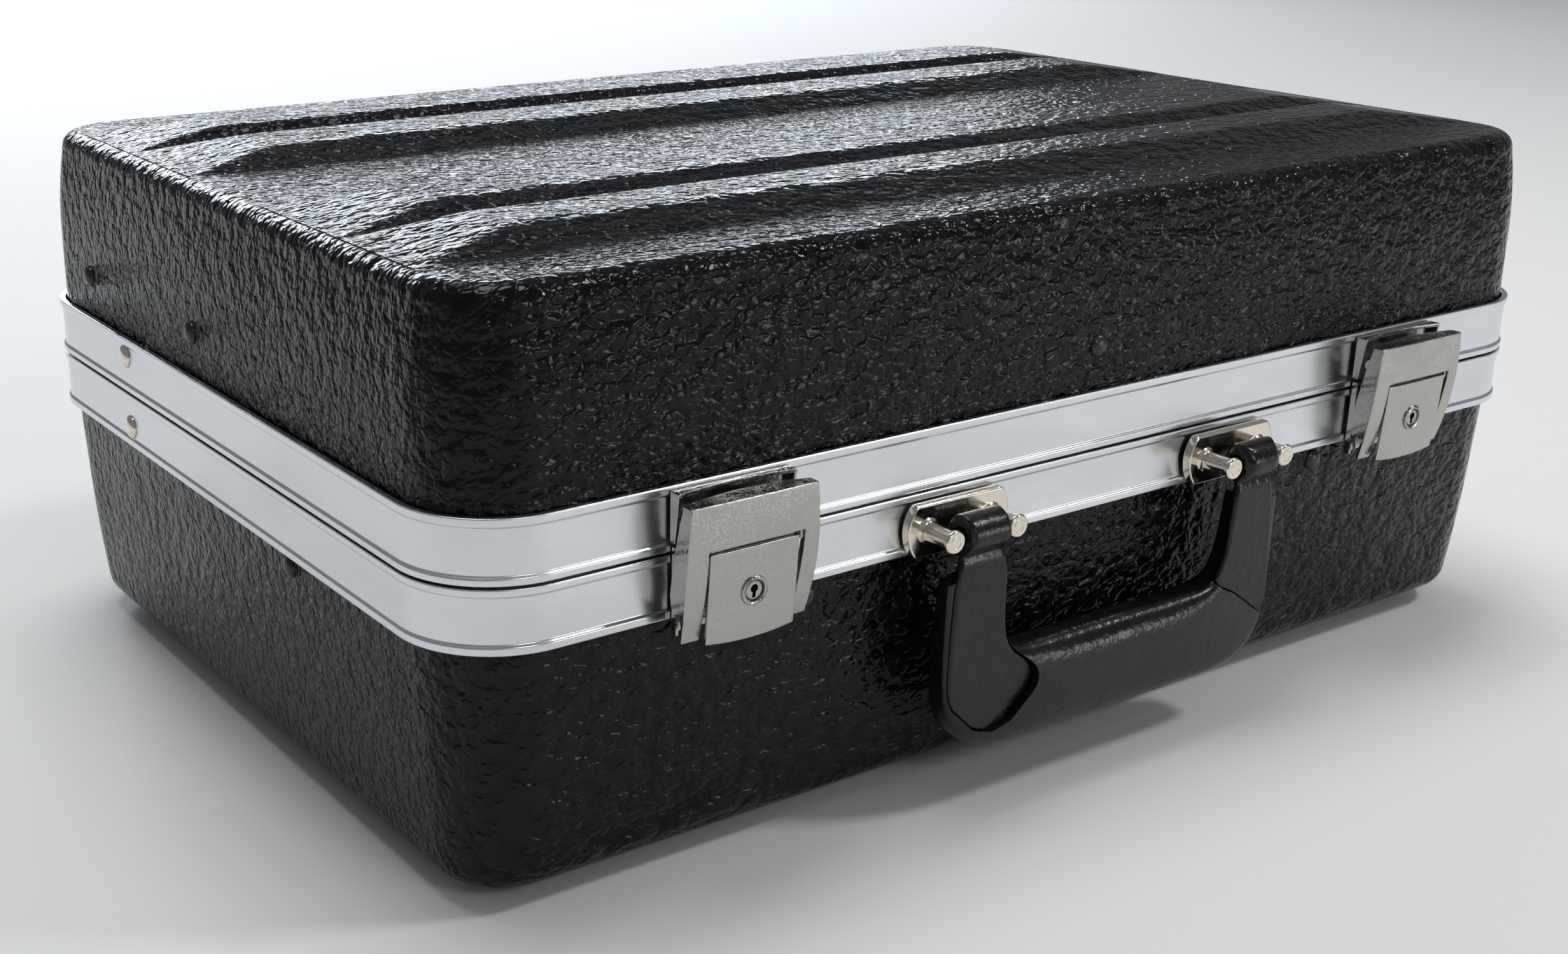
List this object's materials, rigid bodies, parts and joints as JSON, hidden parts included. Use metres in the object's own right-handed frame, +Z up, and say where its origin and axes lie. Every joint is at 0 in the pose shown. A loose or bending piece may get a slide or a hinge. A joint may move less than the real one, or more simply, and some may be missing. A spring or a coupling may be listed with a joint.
{
  "type": "attache case",
  "caption": "Hard-sided attache case: two black textured shells in aluminium edge frames, with key latches, a drop handle, butt hinges and folding lid stays.",
  "frame": {"origin": "middle of the bounding box in plan, on the surface that the case stands on", "axes": "+X along the long front from the left latch to the right latch, -Y out of the front (latch and handle side), +Z up, out of the lid's top"},
  "size_m": [0.4622, 0.34, 0.1856],
  "materials": {
    "black_shell": "black ABS with an embossed leather grain, semi-gloss",
    "aluminium": "satin extrusion",
    "latch_chrome": "plated, slightly worn",
    "nickel": "polished nickel plate",
    "handle_plastic": "black, finely grained",
    "steel": "plain",
    "black_rivet": "black semi-gloss"
  },
  "bodies": {
    "base": {"base_shell": "black_shell", "base_frame": "aluminium", "base_rivet_front_left": "black_rivet", "base_rivet_front_right": "black_rivet", "base_rivet_left": "black_rivet", "base_rivet_right": "black_rivet", "hinge_left_leaf_base": "nickel", "hinge_left_base_rivet_inner": "nickel", "hinge_left_base_rivet_outer": "nickel", "hinge_left_pin": "steel", "handle_bracket_left": "nickel", "handle_post_left_left": "nickel", "handle_post_left_right": "nickel", "handle_axle_left": "steel", "latch_left_base_plate": "latch_chrome", "latch_left_cover_pin": "steel", "stay_left_base_rivet": "nickel", "hinge_right_leaf_base": "nickel", "hinge_right_base_rivet_inner": "nickel", "hinge_right_base_rivet_outer": "nickel", "hinge_right_pin": "steel", "handle_bracket_right": "nickel", "handle_post_right_left": "nickel", "handle_post_right_right": "nickel", "handle_axle_right": "steel", "latch_right_base_plate": "latch_chrome", "latch_right_cover_pin": "steel", "stay_right_base_rivet": "nickel"},
    "lid": {"lid_shell": "black_shell", "lid_frame": "aluminium", "lid_rivet_front": "black_rivet", "lid_rivet_left_back": "black_rivet", "lid_rivet_left_front": "black_rivet", "lid_rivet_right_back": "black_rivet", "lid_rivet_right_front": "black_rivet", "hinge_left_leaf_lid": "nickel", "hinge_left_lid_rivet_inner": "nickel", "hinge_left_lid_rivet_outer": "nickel", "latch_left_catch_plate": "latch_chrome", "stay_left_lid_rivet": "nickel", "hinge_right_leaf_lid": "nickel", "hinge_right_lid_rivet_inner": "nickel", "hinge_right_lid_rivet_outer": "nickel", "latch_right_catch_plate": "latch_chrome", "stay_right_lid_rivet": "nickel"},
    "handle": {"handle_grip": "handle_plastic", "handle_arm_left": "handle_plastic", "handle_arm_right": "handle_plastic"},
    "left_latch_cover": {"latch_left_cover": "latch_chrome"},
    "left_latch_flap": {"latch_left_flap": "latch_chrome"},
    "left_lock_plug": {"latch_left_lock_plug": "latch_chrome"},
    "left_stay_lower": {"stay_left_lower": "nickel"},
    "left_stay_upper": {"stay_left_upper": "nickel"},
    "right_latch_cover": {"latch_right_cover": "latch_chrome"},
    "right_latch_flap": {"latch_right_flap": "latch_chrome"},
    "right_lock_plug": {"latch_right_lock_plug": "latch_chrome"},
    "right_stay_lower": {"stay_right_lower": "nickel"},
    "right_stay_upper": {"stay_right_upper": "nickel"}
  },
  "joints": [
    {"name": "lid_hinge", "type": "hinge", "parent": "base", "child": "lid", "pos_m": [0, 0.16705, 0.102], "axis": [-1, 0, 0], "range_deg": [0, 100]},
    {"name": "handle_hinge", "type": "hinge", "parent": "base", "child": "handle", "pos_m": [0, -0.16355, 0.091], "axis": [-1, 0, 0], "range_deg": [0, 150]},
    {"name": "left_latch_hinge", "type": "hinge", "parent": "base", "child": "left_latch_cover", "pos_m": [-0.143, -0.15645, 0.091], "axis": [1, 0, 0], "range_deg": [0, 15]},
    {"name": "left_flap_hinge", "type": "hinge", "parent": "left_latch_cover", "child": "left_latch_flap", "pos_m": [-0.143, -0.16085, 0.1046], "axis": [-1, 0, 0], "range_deg": [0, 15]},
    {"name": "left_lock_turn", "type": "hinge", "parent": "left_latch_flap", "child": "left_lock_plug", "pos_m": [-0.143, -0.1634, 0.091], "axis": [0, -0.9976, -0.0698], "range_deg": [0, 90]},
    {"name": "left_stay_lower_pivot", "type": "hinge", "parent": "base", "child": "left_stay_lower", "pos_m": [-0.219, 0.07625, 0.0895], "axis": [-1, 0, 0], "range_deg": [0, 100]},
    {"name": "left_stay_upper_pivot", "type": "hinge", "parent": "lid", "child": "left_stay_upper", "pos_m": [-0.217, 0.07625, 0.1145], "axis": [-1, 0, 0], "range_deg": [-100, 0]},
    {"name": "right_latch_hinge", "type": "hinge", "parent": "base", "child": "right_latch_cover", "pos_m": [0.143, -0.15645, 0.091], "axis": [1, 0, 0], "range_deg": [0, 15]},
    {"name": "right_flap_hinge", "type": "hinge", "parent": "right_latch_cover", "child": "right_latch_flap", "pos_m": [0.143, -0.16085, 0.1046], "axis": [-1, 0, 0], "range_deg": [0, 15]},
    {"name": "right_lock_turn", "type": "hinge", "parent": "right_latch_flap", "child": "right_lock_plug", "pos_m": [0.143, -0.1634, 0.091], "axis": [0, -0.9976, -0.0698], "range_deg": [0, 90]},
    {"name": "right_stay_lower_pivot", "type": "hinge", "parent": "base", "child": "right_stay_lower", "pos_m": [0.219, 0.07625, 0.0895], "axis": [-1, 0, 0], "range_deg": [0, 100]},
    {"name": "right_stay_upper_pivot", "type": "hinge", "parent": "lid", "child": "right_stay_upper", "pos_m": [0.217, 0.07625, 0.1145], "axis": [-1, 0, 0], "range_deg": [-100, 0]}
  ],
  "couplings": [
    {"joint": "left_flap_hinge", "follows": "left_latch_hinge", "ratio": 1},
    {"joint": "left_stay_lower_pivot", "follows": "lid_hinge", "ratio": 1},
    {"joint": "left_stay_upper_pivot", "follows": "lid_hinge", "ratio": -1},
    {"joint": "right_flap_hinge", "follows": "right_latch_hinge", "ratio": 1},
    {"joint": "right_stay_lower_pivot", "follows": "lid_hinge", "ratio": 1},
    {"joint": "right_stay_upper_pivot", "follows": "lid_hinge", "ratio": -1}
  ]
}
